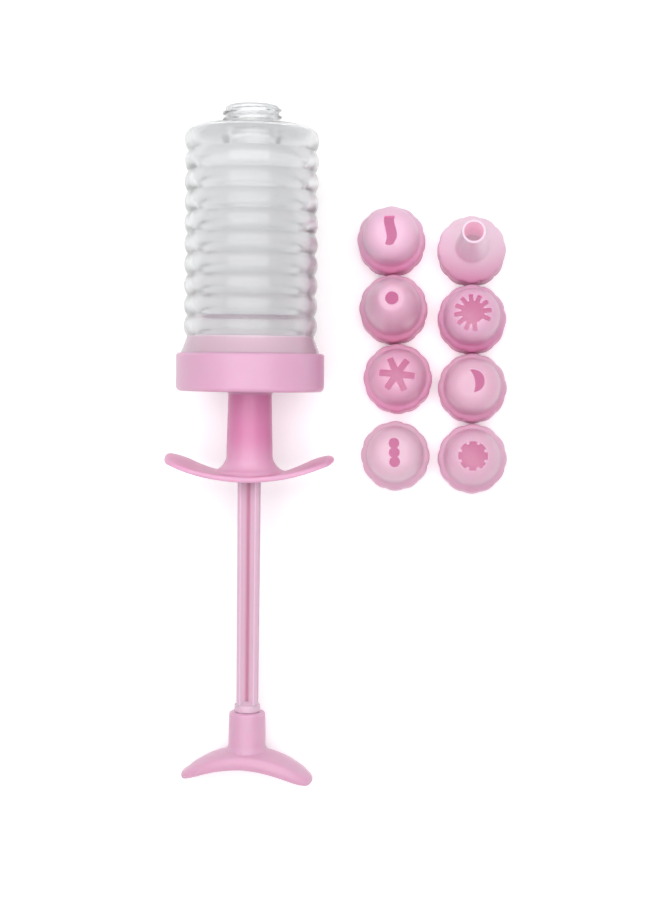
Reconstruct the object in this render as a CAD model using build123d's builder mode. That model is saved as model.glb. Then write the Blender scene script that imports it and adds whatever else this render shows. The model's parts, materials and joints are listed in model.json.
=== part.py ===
from build123d import *
import os
from math import atan2, degrees, hypot

os.makedirs("parts", exist_ok=True)

# Everything is in millimetres and degrees. The pen is drawn upright on its own axis,
# with the underside of its collar at height zero and its mouth upwards, and is then
# laid on the table. Each nozzle is drawn standing on its rim.

# Barrel
barrel_bore_radius = 23.4
barrel_wall = 1.4
rib_depth = 1.4
rib_pitch = 8.0
full_ribs = 9
rib_root_fillet = 0.5
foot_step = 1.3  # how far the foot stands out past the rib crests
foot_height = 12.4
foot_edge = 0.6
flare_height = 7.0
shoulder_height = 9.3
shoulder_radius = 4.5
shoulder_wall = 1.6
chamber_corner = 2.0

# Threaded neck of the barrel, which every nozzle screws on to
neck_core_radius = 10.5
neck_bore_radius = 8.4
neck_height = 8.4
neck_edge = 1.1
thread_pitch = 2.6
thread_depth = 1.1
thread_root_width = 1.7
thread_crest_width = 0.6
thread_bite = 0.2  # how far a ridge is sunk into the wall that carries it
neck_thread_turns = 2.1
neck_thread_start = 1.5

# Collar and finger grip, one moulding
cap_height = 15.0
cap_wall = 1.5
cap_floor = 2.0
cap_clearance = 0.08
cap_rim_radius = 1.2
cap_edge_radius = 1.8
seat_gap = 0.1

# Three-lug turn fastening between collar and barrel foot
lug_count = 3
lug_depth = 1.1
lug_height = 3.0
lug_width = 8.0
lug_lift = 5.0  # above the collar's floor
lug_play = 0.15
unlock_turn = 30.0

# Guide column between collar and wings
column_length = 25.5
column_wall = 2.35
column_draft = 0.6
column_root_fillet = 1.2
flare_drop = 7.4
flare_reach = 5.9  # along the wings
flare_depth = 2.4  # across the wings
flare_drop_shares = (0, 0.3, 0.55, 0.71, 0.8)
flare_reach_shares = (0, 0.11, 0.34, 0.62, 1)
flare_foot_share = 0.55
flare_foot_depth = 3.9
guide_clearance = 0.25

# Finger wings: a bowed leaf with its long edges curled down
wing_half_span = 33.6
wing_half_depth = 14.4
wing_rise = 8.1
wing_curl = 2.7
wing_thickness = 2.2
wing_lip = 0.35  # how far the rounded edge stands out
wing_station_shares = (0, 0.36, 0.57, 0.76, 0.9, 1)
wing_rise_shares = (0, 0.14, 0.46, 0.82, 0.99, 0.9)
wing_curl_shares = (0.03, 0.08, 0.55, 1, 0.74, 0.08)
wing_depth_shares = (0.97, 0.99, 1, 0.94, 0.72, 0.2)
wing_thickness_shares = (1, 1, 0.96, 0.9, 0.8, 0.5)

# Plunger rod, a cross in section that thins towards the thumb
rod_length = 126.0  # from the flange behind the piston to the end disc
fin_span = 10.8
fin_span_end = 9.9
fin_thickness = 2.2
fin_edge = 0.5
flange_radius = 9.0
flange_thickness = 2.0
gusset_height = 2.4
end_disc_radius = 5.1
end_disc_thickness = 3.0
peg_radius = 3.0
peg_head_radius = 3.8
peg_neck_length = 3.2
peg_head_length = 3.4
peg_head_bevel = 0.8
peg_play = 0.1
plug_radius = 4.4
plug_length = 10.5
plug_bevel = 0.6

# Piston and its seal
piston_clearance = 0.4
piston_top_length = 12.0
piston_top_wall = 2.0
piston_skirt_wall = 1.9
piston_top_radius = 2.0
piston_hub_wall = 3.4
hub_length = 3.8  # how far the hub stands out of the skirt
seal_width = 3.0
seal_depth = 2.0
seal_play = 0.05
seal_notch = 0.9
seal_offset = 5.0  # above the skirt's lower edge
stop_gap = 0.3

# Thumb rest: a thick bowed leaf on a socket
socket_radius = 7.45
socket_draft = 0.25
socket_length = 14.1
socket_edge = 0.9
socket_fillet = 0.7
socket_play = 0.05
thumb_half_span = 26.5
thumb_half_depth = 9.2
thumb_rise = 10.0
thumb_curl = 2.5
thumb_thickness = 6.8
thumb_lip = 0.8
thumb_under_share = 0.4  # how much of the curl the underside follows
thumb_station_shares = (0, 0.3, 0.55, 0.78, 0.92, 1)
thumb_rise_shares = (0, 0.088, 0.3, 0.64, 0.93, 1.13)
thumb_curl_shares = (1, 0.96, 0.83, 0.56, 0.27, 0.05)
thumb_depth_shares = (1, 0.98, 0.91, 0.75, 0.52, 0.14)
thumb_thickness_shares = (1, 0.99, 0.94, 0.8, 0.6, 0.3)
thumb_turn = -5.0

# Nozzles
nozzle_crest_radius = 13.85
scallops = 12
scallop_radius = 7.2
skirt_height = 11.4
skirt_round = 2.6
nozzle_seat_gap = 0.6
nozzle_rim_chamfer = 0.4
thread_clearance = 0.15
nozzle_thread_start = 1.6
nozzle_thread_turns = 1.9
nozzle_wall = 1.5
dome_height = 25.0
short_dome_height = 22.0
tall_dome_height = 28.0
dome_draft = 0.4
dome_crown = 8.0
dome_flat_radius = 3.7
dome_lean = 0.0  # slope at the edge of the flat top
cone_height = 34.5
cone_crown = 18.0
cone_flat_radius = 4.8
cone_lean = 0.9
tube_height = 45.0
tube_tip_radius = 4.65
tube_base_radius = 6.3
tube_foot_height = 15.0
tube_foot_fillet = 2.5
tube_bore_radius = 3.7

# Outlets
wave_length = 12.8
wave_width = 4.1
wave_left_shares = ((-0.55, 0.455), (-0.62, 0.3), (-0.42, 0), (-0.31, -0.21), (-0.48, -0.42))
wave_right_shares = ((0.43, 0.46), (0.36, 0.28), (0.58, 0), (0.64, -0.19), (0.33, -0.42))
wave_foot_shares = (-0.08, -0.46)
round_outlet_radius = 2.6
star_rays = 6
star_reach = 7.0
star_core_radius = 2.5
star_ray_width = 2.6
star_turn = -5.0
ray_edge = 0.4
bead_radius = 2.1
bead_spacing = 3.7
bead_count = 3
bead_turn = 93.0
sunburst_places = 12
sunburst_missing = (10,)  # one ray short of a full ring
sunburst_turn = 8.0
sunburst_reach = 7.4
sunburst_core_radius = 4.3
sunburst_ray_width = 1.8
crescent_height = 9.0
crescent_outer_bow = 5.0
crescent_inner_bow = 0.7
crescent_offset = 0.6
crescent_turn = 10.0
rosette_teeth = 8
rosette_turn = 22.5
rosette_reach = 5.8
rosette_core_radius = 4.8
rosette_notch_width = 1.1

# Layout on the table: two rows of four nozzles to the right of the pen
pen_gap = 8.0  # from a wing tip to the nearer row
row_spacing = 31.5
nozzle_gap = 0.35
near_row_shares = ((-0.05, 2.306), (-0.005, 1.305), (0.073, 0.296), (0.055, -0.82))
far_row_shares = ((-0.012, 2.172), (0.005, 1.171), (0.023, 0.17), (0.034, -0.845))
settling_passes = 5

overrun = 1.0

# Radii that follow
rib_root_radius = barrel_bore_radius + barrel_wall
rib_crest_radius = rib_root_radius + rib_depth
foot_radius = rib_crest_radius + foot_step
cap_bore_radius = foot_radius + cap_clearance
cap_radius = cap_bore_radius + cap_wall
guide_radius = hypot(fin_span / 2, fin_thickness / 2) + guide_clearance
column_top_radius = guide_radius + column_wall
column_foot_radius = column_top_radius + column_draft
neck_crest_radius = neck_core_radius + thread_depth
nozzle_bore_radius = neck_crest_radius + thread_clearance
dome_foot_radius = nozzle_crest_radius - skirt_round
seat_height = neck_height + nozzle_seat_gap

# Heights that follow, along the pen's axis
foot_bottom = cap_floor + seat_gap
flare_bottom = foot_bottom + foot_height
rib_bottom = flare_bottom + flare_height
shoulder_bottom = rib_bottom + full_ribs * rib_pitch
shoulder_top = shoulder_bottom + shoulder_height
chamber_top = shoulder_top - shoulder_wall
neck_top = shoulder_top + neck_height
wing_top = -column_length - flare_drop
flange_bottom = cap_floor + seat_gap
flange_top = flange_bottom + flange_thickness
hub_bottom = flange_top + peg_play
piston_bottom = hub_bottom + hub_length
piston_top = piston_bottom + piston_top_length
seal_bottom = piston_bottom + seal_offset
rod_bottom = flange_bottom - rod_length
disc_bottom = rod_bottom - end_disc_thickness
socket_top = disc_bottom
thumb_top = socket_top - socket_length
stroke = chamber_top - piston_top - stop_gap


def arc_band(inner, outer, start, span):
    """Outline of a curved band between two radii."""
    with BuildLine() as band:
        near = CenterArc((0, 0), inner, start, span)
        far = CenterArc((0, 0), outer, start, span)
        Line(near @ 0, far @ 0)
        Line(near @ 1, far @ 1)
    return band.edges()


def leaf_slice(crown, drop, half_depth, thickness, lip, under_share):
    """Outline of one slice of a bowed leaf: a curled strip with rounded edges."""
    edge = crown - drop
    base = crown - thickness
    under_edge = base - drop * under_share
    middle = (edge + under_edge) / 2
    with BuildLine() as leaf:
        ThreePointArc((-half_depth, edge), (0, crown), (half_depth, edge))
        ThreePointArc((half_depth, edge), (half_depth + lip, middle), (half_depth, under_edge))
        ThreePointArc((half_depth, under_edge), (0, base), (-half_depth, under_edge))
        ThreePointArc((-half_depth, under_edge), (-half_depth - lip, middle), (-half_depth, edge))
    return leaf.edges()


def both_ways(shares, sign):
    """Shares from one tip of a leaf to the other, its middle counted once."""
    return [sign * share for share in reversed(shares[1:])] + list(shares)


def ridge_outline(radius, height, outward):
    """Section of a thread ridge, sunk a little into the wall that carries it."""
    root = radius - outward * thread_bite
    crest = radius + outward * thread_depth
    with BuildLine() as ridge:
        Polyline(
            (root, height - thread_root_width / 2),
            (crest, height - thread_crest_width / 2),
            (crest, height + thread_crest_width / 2),
            (root, height + thread_root_width / 2),
            close=True,
        )
    return ridge.edges()


# Barrel: ribbed clear cylinder with a flared foot below and the neck above
with BuildPart() as barrel:
    with BuildSketch(Plane.XZ) as barrel_section:
        with BuildLine():
            Polyline(
                (barrel_bore_radius, foot_bottom),
                (foot_radius - foot_edge, foot_bottom),
                (foot_radius, foot_bottom + foot_edge),
                (foot_radius, flare_bottom),
                (rib_root_radius, rib_bottom),
            )
            for rib in range(full_ribs):
                low = rib_bottom + rib * rib_pitch
                ThreePointArc(
                    (rib_root_radius, low),
                    (rib_crest_radius, low + rib_pitch / 2),
                    (rib_root_radius, low + rib_pitch),
                )
            rising = ThreePointArc(
                (rib_root_radius, shoulder_bottom),
                (rib_crest_radius, shoulder_bottom + rib_pitch / 2),
                (rib_root_radius, shoulder_bottom + rib_pitch),
                mode=Mode.PRIVATE,
            )
            add(rising.trim(0, 1 / 2))
            Line((rib_crest_radius, shoulder_bottom + rib_pitch / 2),
                 (rib_crest_radius, shoulder_top - shoulder_radius))
            shoulder_centre = rib_crest_radius - shoulder_radius
            CenterArc((shoulder_centre, shoulder_top - shoulder_radius), shoulder_radius, 0, 90)
            Polyline(
                (shoulder_centre, shoulder_top),
                (neck_core_radius, shoulder_top),
                (neck_core_radius, neck_top - neck_edge),
            )
            neck_centre = neck_core_radius - neck_edge
            CenterArc((neck_centre, neck_top - neck_edge), neck_edge, 0, 90)
            Polyline(
                (neck_centre, neck_top),
                (neck_bore_radius, neck_top),
                (neck_bore_radius, chamber_top),
                (barrel_bore_radius - chamber_corner, chamber_top),
            )
            CenterArc((barrel_bore_radius - chamber_corner, chamber_top - chamber_corner),
                      chamber_corner, 0, 90)
            Line((barrel_bore_radius, chamber_top - chamber_corner),
                 (barrel_bore_radius, foot_bottom))
        make_face()
        rib_roots = barrel_section.vertices().filter_by(
            lambda v: abs(v.X - rib_root_radius) < rib_depth / 2 and v.Y > flare_bottom
        )
        fillet(rib_roots, rib_root_fillet)
    revolve(axis=Axis.Z)
    thread_bottom = shoulder_top + neck_thread_start
    with BuildLine() as neck_helix:
        Helix(thread_pitch, thread_pitch * neck_thread_turns, neck_core_radius,
              center=(0, 0, thread_bottom))
    with BuildSketch(Plane.XZ):
        make_face(ridge_outline(neck_core_radius, thread_bottom, 1))
    sweep(path=neck_helix.wire(), is_frenet=True)
    lug_bottom = cap_floor + lug_lift
    lug_span = degrees(lug_width / cap_bore_radius)
    slot_play = degrees(lug_play / cap_bore_radius)
    slot_radius = cap_bore_radius - lug_depth - lug_play
    slot_height = lug_height + lug_play * 2
    for lug in range(lug_count):
        start = lug * 360 / lug_count - slot_play
        with BuildSketch(Plane.XY.offset(lug_bottom - lug_play)):
            make_face(arc_band(slot_radius, foot_radius + overrun, start,
                               lug_span + unlock_turn + slot_play * 2))
        extrude(amount=slot_height, mode=Mode.SUBTRACT)
        with BuildSketch(Plane.XY.offset(foot_bottom - overrun)):
            make_face(arc_band(slot_radius, foot_radius + overrun, start + unlock_turn,
                               lug_span + slot_play * 2))
        extrude(amount=lug_bottom + overrun - foot_bottom, mode=Mode.SUBTRACT)

# Rear cap: collar, guide column and finger wings in one moulding
with BuildPart() as rear_cap:
    with BuildSketch(Plane.XZ):
        with BuildLine():
            rim_centre = cap_radius - cap_rim_radius
            edge_centre = cap_radius - cap_edge_radius
            root_centre = column_top_radius + column_root_fillet
            Polyline(
                (0, cap_floor),
                (cap_bore_radius, cap_floor),
                (cap_bore_radius, cap_height),
                (rim_centre, cap_height),
            )
            CenterArc((rim_centre, cap_height - cap_rim_radius), cap_rim_radius, 0, 90)
            Line((cap_radius, cap_height - cap_rim_radius), (cap_radius, cap_edge_radius))
            CenterArc((edge_centre, cap_edge_radius), cap_edge_radius, 270, 90)
            Line((edge_centre, 0), (root_centre, 0))
            CenterArc((root_centre, -column_root_fillet), column_root_fillet, 90, 90)
            Polyline(
                (column_top_radius, -column_root_fillet),
                (column_foot_radius, -column_length),
                (0, -column_length),
                (0, cap_floor),
            )
        make_face()
    revolve(axis=Axis.Z)
    for down, across in zip(flare_drop_shares, flare_reach_shares):
        with BuildSketch(Plane.XY.offset(-column_length - down * flare_drop)):
            Ellipse(column_foot_radius + across * flare_reach,
                    column_foot_radius + across * flare_depth)
    loft()
    flare_edge = -column_length - flare_drop_shares[-1] * flare_drop
    with BuildSketch(Plane.XY.offset(flare_edge)):
        Ellipse(column_foot_radius + flare_reach, column_foot_radius + flare_depth)
    with BuildSketch(Plane.XY.offset(wing_top - wing_thickness / 4)):
        Ellipse(column_foot_radius + flare_foot_share * flare_reach,
                column_foot_radius + flare_foot_depth)
    loft()
    sides = zip(
        both_ways(wing_station_shares, -1),
        both_ways(wing_rise_shares, 1),
        both_ways(wing_curl_shares, 1),
        both_ways(wing_depth_shares, 1),
        both_ways(wing_thickness_shares, 1),
    )
    for station, rise, curl, depth, thick in sides:
        with BuildSketch(Plane.YZ.offset(station * wing_half_span)):
            make_face(leaf_slice(
                wing_top + rise * wing_rise,
                curl * wing_curl,
                depth * wing_half_depth,
                thick * wing_thickness,
                wing_lip,
                1,
            ))
    loft()
    with BuildSketch(Plane.XY.offset(cap_floor)):
        Circle(guide_radius)
    extrude(amount=wing_top - wing_thickness - cap_floor - overrun, mode=Mode.SUBTRACT)
    for lug in range(lug_count):
        with BuildSketch(Plane.XY.offset(lug_bottom)):
            make_face(arc_band(cap_bore_radius - lug_depth, cap_bore_radius + cap_wall / 2,
                               lug * 360 / lug_count, lug_span))
        extrude(amount=lug_height)

# Plunger rod: cross-shaped shaft with a snap peg in front and a disc and plug behind
with BuildPart() as plunger_rod:
    for height, span in ((flange_bottom, fin_span), (rod_bottom, fin_span_end)):
        with BuildSketch(Plane.XY.offset(height)) as cross:
            Rectangle(span, fin_thickness, rotation=45)
            Rectangle(span, fin_thickness, rotation=135)
            fillet(cross.vertices().sort_by_distance((0, 0))[-8:], fin_edge)
    loft(ruled=True)
    with BuildSketch(Plane.XY.offset(flange_bottom)):
        Circle(flange_radius)
    extrude(amount=flange_thickness)
    with BuildSketch(Plane.XZ):
        with BuildLine():
            head_bottom = flange_top + peg_neck_length
            head_top = head_bottom + peg_head_length
            Polyline(
                (0, flange_bottom),
                (peg_radius, flange_bottom),
                (peg_radius, head_bottom),
                (peg_head_radius, head_bottom),
                (peg_head_radius, head_top - peg_head_bevel),
                (peg_head_radius - peg_head_bevel, head_top),
                (0, head_top),
                close=True,
            )
        make_face()
    revolve(axis=Axis.Z)
    with BuildSketch(Plane.XZ):
        with BuildLine():
            plug_bottom = disc_bottom - plug_length
            Polyline(
                (0, rod_bottom + gusset_height),
                (fin_thickness, rod_bottom + gusset_height),
                (end_disc_radius - fin_edge, rod_bottom),
                (end_disc_radius, rod_bottom - fin_edge),
                (end_disc_radius, disc_bottom),
                (plug_radius, disc_bottom),
                (plug_radius, plug_bottom + plug_bevel),
                (plug_radius - plug_bevel, plug_bottom),
                (0, plug_bottom),
                close=True,
            )
        make_face()
    revolve(axis=Axis.Z)

# Piston: hollow plug with a groove for the seal and a hub that snaps over the peg
groove_radius = barrel_bore_radius - piston_clearance - seal_depth
with BuildPart() as piston:
    with BuildSketch(Plane.XZ):
        with BuildLine():
            piston_radius = barrel_bore_radius - piston_clearance
            hub_radius = peg_head_radius + piston_hub_wall
            pocket_radius = groove_radius - piston_skirt_wall
            lip_radius = peg_radius + peg_play
            cavity_radius = peg_head_radius + peg_play
            lip_top = head_bottom - peg_play
            cavity_top = head_top + peg_play
            pocket_top = piston_top - piston_top_wall
            Polyline(
                (0, cavity_top),
                (cavity_radius, cavity_top),
                (cavity_radius, lip_top),
                (lip_radius, lip_top),
                (lip_radius, hub_bottom),
                (hub_radius, hub_bottom),
                (hub_radius, pocket_top),
                (pocket_radius, pocket_top),
                (pocket_radius, piston_bottom),
                (piston_radius, piston_bottom),
                (piston_radius, seal_bottom),
                (groove_radius, seal_bottom),
                (groove_radius, seal_bottom + seal_width),
                (piston_radius, seal_bottom + seal_width),
                (piston_radius, piston_top - piston_top_radius),
            )
            crown_centre = piston_radius - piston_top_radius
            CenterArc((crown_centre, piston_top - piston_top_radius), piston_top_radius, 0, 90)
            Polyline((crown_centre, piston_top), (0, piston_top), (0, cavity_top))
        make_face()
    revolve(axis=Axis.Z)

# Piston seal: soft ring with two lips, in the piston's groove
with BuildPart() as piston_seal:
    with BuildSketch(Plane.XZ):
        with BuildLine():
            ring_inner = groove_radius + seal_play
            ring_outer = barrel_bore_radius - seal_play
            ring_bottom = seal_bottom + seal_play
            ring_top = seal_bottom + seal_width - seal_play
            ring_middle = (ring_bottom + ring_top) / 2
            Polyline(
                (ring_inner, ring_bottom),
                (ring_outer, ring_bottom),
                (ring_outer - seal_notch, ring_middle),
                (ring_outer, ring_top),
                (ring_inner, ring_top),
                close=True,
            )
        make_face()
    revolve(axis=Axis.Z)

# Thumb rest: bowed leaf with a socket that the rod's plug is pushed into
with BuildPart() as thumb_rest:
    sides = zip(
        both_ways(thumb_station_shares, -1),
        both_ways(thumb_rise_shares, 1),
        both_ways(thumb_curl_shares, 1),
        both_ways(thumb_depth_shares, 1),
        both_ways(thumb_thickness_shares, 1),
    )
    for station, rise, curl, depth, thick in sides:
        with BuildSketch(Plane.YZ.offset(station * thumb_half_span)):
            make_face(leaf_slice(
                thumb_top - rise * thumb_rise,
                curl * thumb_curl,
                depth * thumb_half_depth,
                thick * thumb_thickness,
                thumb_lip,
                thumb_under_share,
            ))
    loft()
    with BuildSketch(Plane.XZ):
        with BuildLine():
            mouth_radius = socket_radius - socket_draft
            edge_centre = mouth_radius - socket_edge
            Polyline(
                (0, thumb_top - socket_fillet),
                (socket_radius + socket_fillet, thumb_top - socket_fillet),
                (socket_radius, thumb_top + socket_fillet),
                (mouth_radius, socket_top - socket_edge),
            )
            CenterArc((edge_centre, socket_top - socket_edge), socket_edge, 0, 90)
            Polyline((edge_centre, socket_top), (0, socket_top), (0, thumb_top - socket_fillet))
        make_face()
    revolve(axis=Axis.Z)
    with BuildSketch(Plane.XY.offset(socket_top)):
        Circle(plug_radius + socket_play)
    extrude(amount=-plug_length - socket_play, mode=Mode.SUBTRACT)


def nozzle_shell(top, crown, flat_radius, lean):
    """A nozzle without its outlet: scalloped skirt, thread and a domed top."""
    side_radius = dome_foot_radius - dome_draft
    dome_base = top - crown
    with BuildPart() as shell:
        with BuildSketch(Plane.XZ):
            with BuildLine():
                Line((0, 0), (nozzle_crest_radius, 0))
                Line((nozzle_crest_radius, 0), (nozzle_crest_radius, skirt_height - skirt_round))
                CenterArc((dome_foot_radius, skirt_height - skirt_round), skirt_round, 0, 90)
                Line((dome_foot_radius, skirt_height), (side_radius, dome_base))
                Spline((side_radius, dome_base), (flat_radius, top), tangents=((0, 1), (-1, lean)))
                Polyline((flat_radius, top), (0, top), (0, 0))
            make_face()
        revolve(axis=Axis.Z)
        with BuildSketch():
            with PolarLocations(nozzle_crest_radius - scallop_radius, scallops):
                Circle(scallop_radius)
        extrude(amount=top, mode=Mode.INTERSECT)
        with BuildSketch(Plane.XZ):
            with BuildLine():
                inner_radius = side_radius - nozzle_wall
                Polyline(
                    (0, 0),
                    (nozzle_bore_radius + nozzle_rim_chamfer, 0),
                    (nozzle_bore_radius, nozzle_rim_chamfer),
                    (nozzle_bore_radius, seat_height),
                    (dome_foot_radius - nozzle_wall, seat_height),
                    (inner_radius, dome_base),
                )
                inner_flat = (flat_radius - nozzle_wall * lean, top - nozzle_wall)
                Spline((inner_radius, dome_base), inner_flat, tangents=((0, 1), (-1, lean)))
                Polyline(inner_flat, (0, top - nozzle_wall), (0, 0))
            make_face()
        revolve(axis=Axis.Z, mode=Mode.SUBTRACT)
        with BuildLine() as helix:
            Helix(thread_pitch, thread_pitch * nozzle_thread_turns, nozzle_bore_radius,
                  center=(0, 0, nozzle_thread_start))
        with BuildSketch(Plane.XZ):
            make_face(ridge_outline(nozzle_bore_radius, nozzle_thread_start, -1))
        sweep(path=helix.wire(), is_frenet=True)
    return shell.part


dome = nozzle_shell(dome_height, dome_crown, dome_flat_radius, dome_lean)
short_dome = nozzle_shell(short_dome_height, dome_crown, dome_flat_radius, dome_lean)
tall_dome = nozzle_shell(tall_dome_height, dome_crown, dome_flat_radius, dome_lean)
cone = nozzle_shell(cone_height, cone_crown, cone_flat_radius, cone_lean)

# Nozzle with an S-shaped slot
with BuildPart() as nozzle_wave:
    add(tall_dome)
    with BuildSketch(Plane.XY.offset(skirt_height)):
        with BuildLine():
            left = Spline(*[(x * wave_width, y * wave_length) for x, y in wave_left_shares])
            right = Spline(*[(x * wave_width, y * wave_length) for x, y in wave_right_shares])
            Line(left @ 0, right @ 0)
            foot = (wave_foot_shares[0] * wave_width, wave_foot_shares[1] * wave_length)
            ThreePointArc(left @ 1, foot, right @ 1)
        make_face()
    extrude(amount=tall_dome_height, mode=Mode.SUBTRACT)

# Nozzle with a plain round outlet in a taller top
with BuildPart() as nozzle_round:
    add(cone)
    with BuildSketch(Plane.XY.offset(skirt_height)):
        Circle(round_outlet_radius)
    extrude(amount=cone_height, mode=Mode.SUBTRACT)

# Nozzle with a six-ray star
with BuildPart() as nozzle_star_six:
    add(short_dome)
    with BuildSketch(Plane.XY.offset(skirt_height)) as star:
        Circle(star_core_radius)
        with PolarLocations(0, star_rays, star_turn):
            Rectangle(star_reach, star_ray_width, align=(Align.MIN, Align.CENTER))
        ray_tips = star.vertices().filter_by(lambda v: hypot(v.X, v.Y) > star_reach - ray_edge)
        fillet(ray_tips, ray_edge)
    extrude(amount=short_dome_height, mode=Mode.SUBTRACT)

# Nozzle with three beads in a row
with BuildPart() as nozzle_triple:
    add(dome)
    with BuildSketch(Plane.XY.offset(skirt_height)):
        with Locations(Rotation(0, 0, bead_turn)):
            with GridLocations(bead_spacing, 0, bead_count, 1):
                Circle(bead_radius)
    extrude(amount=dome_height, mode=Mode.SUBTRACT)

# Nozzle with a large many-rayed star
with BuildPart() as nozzle_star_large:
    add(dome)
    with BuildSketch(Plane.XY.offset(skirt_height)) as sunburst:
        Circle(sunburst_core_radius)
        for place in range(sunburst_places):
            if place not in sunburst_missing:
                with PolarLocations(0, 1, sunburst_turn + place * 360 / sunburst_places):
                    Rectangle(sunburst_reach, sunburst_ray_width, align=(Align.MIN, Align.CENTER))
        ray_tips = sunburst.vertices().filter_by(
            lambda v: hypot(v.X, v.Y) > sunburst_reach - ray_edge
        )
        fillet(ray_tips, ray_edge)
    extrude(amount=dome_height, mode=Mode.SUBTRACT)

# Nozzle with a crescent
with BuildPart() as nozzle_crescent:
    add(dome)
    with BuildSketch(Plane.XY.offset(skirt_height).rotated((0, 0, crescent_turn))):
        with BuildLine():
            tip = crescent_height / 2
            outer = crescent_outer_bow - crescent_offset
            inner = crescent_inner_bow - crescent_offset
            ThreePointArc((-crescent_offset, tip), (outer, 0), (-crescent_offset, -tip))
            ThreePointArc((-crescent_offset, -tip), (inner, 0), (-crescent_offset, tip))
        make_face()
    extrude(amount=dome_height, mode=Mode.SUBTRACT)

# Nozzle with an eight-toothed rosette
with BuildPart() as nozzle_rosette:
    add(short_dome)
    with BuildSketch(Plane.XY.offset(skirt_height)):
        Circle(rosette_reach)
        with PolarLocations(rosette_core_radius, rosette_teeth, rosette_turn):
            Rectangle(rosette_reach, rosette_notch_width, align=(Align.MIN, Align.CENTER),
                      mode=Mode.SUBTRACT)
    extrude(amount=short_dome_height, mode=Mode.SUBTRACT)

# Nozzle with a long filling tube
with BuildPart() as nozzle_filling_tube:
    with BuildSketch(Plane.XZ) as tube_section:
        with BuildLine():
            Polyline(
                (0, tube_height),
                (0, 0),
                (nozzle_crest_radius, 0),
                (nozzle_crest_radius, skirt_height - skirt_round),
            )
            CenterArc((dome_foot_radius, skirt_height - skirt_round), skirt_round, 0, 90)
            Polyline(
                (dome_foot_radius, skirt_height),
                (tube_base_radius, tube_foot_height),
                (tube_tip_radius, tube_height),
                (0, tube_height),
            )
        make_face()
        foot = tube_section.vertices().sort_by_distance((tube_base_radius, tube_foot_height))[0]
        fillet(foot, tube_foot_fillet)
    revolve(axis=Axis.Z)
    with BuildSketch():
        with PolarLocations(nozzle_crest_radius - scallop_radius, scallops):
            Circle(scallop_radius)
    extrude(amount=tube_height, mode=Mode.INTERSECT)
    with BuildSketch(Plane.XZ):
        with BuildLine():
            Polyline(
                (0, 0),
                (nozzle_bore_radius + nozzle_rim_chamfer, 0),
                (nozzle_bore_radius, nozzle_rim_chamfer),
                (nozzle_bore_radius, seat_height),
                (dome_foot_radius - nozzle_wall, seat_height),
                (tube_base_radius - nozzle_wall, tube_foot_height),
                (tube_bore_radius, tube_height),
                (0, tube_height),
                close=True,
            )
        make_face()
    revolve(axis=Axis.Z, mode=Mode.SUBTRACT)
    with BuildLine() as tube_helix:
        Helix(thread_pitch, thread_pitch * nozzle_thread_turns, nozzle_bore_radius,
              center=(0, 0, nozzle_thread_start))
    with BuildSketch(Plane.XZ):
        make_face(ridge_outline(nozzle_bore_radius, nozzle_thread_start, -1))
    sweep(path=tube_helix.wire(), is_frenet=True)

# Lay the pen down: tip it until collar and thumb rest both touch the table
thumb_twist = Location((0, 0, 0), (0, 0, thumb_turn))
tilt = 0
for settling in range(settling_passes):
    tipped = Location((0, 0, 0), (tilt - 90, 0, 0))
    collar_low = rear_cap.part.moved(tipped).bounding_box().min.Z
    thumb_low = thumb_rest.part.moved(tipped * thumb_twist).bounding_box().min.Z
    tilt += degrees(atan2(thumb_low - collar_low, -thumb_top))
laid = Location((0, 0, -collar_low), (tilt - 90, 0, 0))

# Stand the nozzles in their two rows
nozzle_spacing = nozzle_crest_radius * 2 + nozzle_gap
near_row = wing_half_span + pen_gap + nozzle_crest_radius
near_nozzles = (nozzle_wave, nozzle_round, nozzle_star_six, nozzle_triple)
far_nozzles = (nozzle_filling_tube, nozzle_star_large, nozzle_crescent, nozzle_rosette)
places = [(piece, laid) for piece in (barrel, rear_cap, plunger_rod, piston, piston_seal)]
places.append((thumb_rest, laid * thumb_twist))
for row, nozzles, shares in (
    (near_row, near_nozzles, near_row_shares),
    (near_row + row_spacing, far_nozzles, far_row_shares),
):
    for nozzle, (across, along) in zip(nozzles, shares):
        spot = (row + across * nozzle_spacing, along * nozzle_spacing, 0)
        places.append((nozzle, Location(spot)))

# The origin is on the table, under the middle of everything
boxes = [piece.part.moved(place).bounding_box() for piece, place in places]
middle_x = (min(box.min.X for box in boxes) + max(box.max.X for box in boxes)) / 2
middle_y = (min(box.min.Y for box in boxes) + max(box.max.Y for box in boxes)) / 2
for piece, place in places:
    piece.part.location = Location((-middle_x, -middle_y, 0)) * place
print("tilt", round(tilt, 3), "middle", round(middle_x, 3), round(middle_y, 3))
print("lift", round(-collar_low, 3), "stroke", round(stroke, 3))

barrel.part.label = "barrel"
export_step(barrel.part, "parts/barrel.step")
rear_cap.part.label = "rear_cap"
export_step(rear_cap.part, "parts/rear_cap.step")
plunger_rod.part.label = "plunger_rod"
export_step(plunger_rod.part, "parts/plunger_rod.step")
thumb_rest.part.label = "thumb_rest"
export_step(thumb_rest.part, "parts/thumb_rest.step")
piston.part.label = "piston"
export_step(piston.part, "parts/piston.step")
piston_seal.part.label = "piston_seal"
export_step(piston_seal.part, "parts/piston_seal.step")
nozzle_wave.part.label = "nozzle_wave"
export_step(nozzle_wave.part, "parts/nozzle_wave.step")
nozzle_round.part.label = "nozzle_round"
export_step(nozzle_round.part, "parts/nozzle_round.step")
nozzle_star_six.part.label = "nozzle_star_six"
export_step(nozzle_star_six.part, "parts/nozzle_star_six.step")
nozzle_triple.part.label = "nozzle_triple"
export_step(nozzle_triple.part, "parts/nozzle_triple.step")
nozzle_filling_tube.part.label = "nozzle_filling_tube"
export_step(nozzle_filling_tube.part, "parts/nozzle_filling_tube.step")
nozzle_star_large.part.label = "nozzle_star_large"
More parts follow.
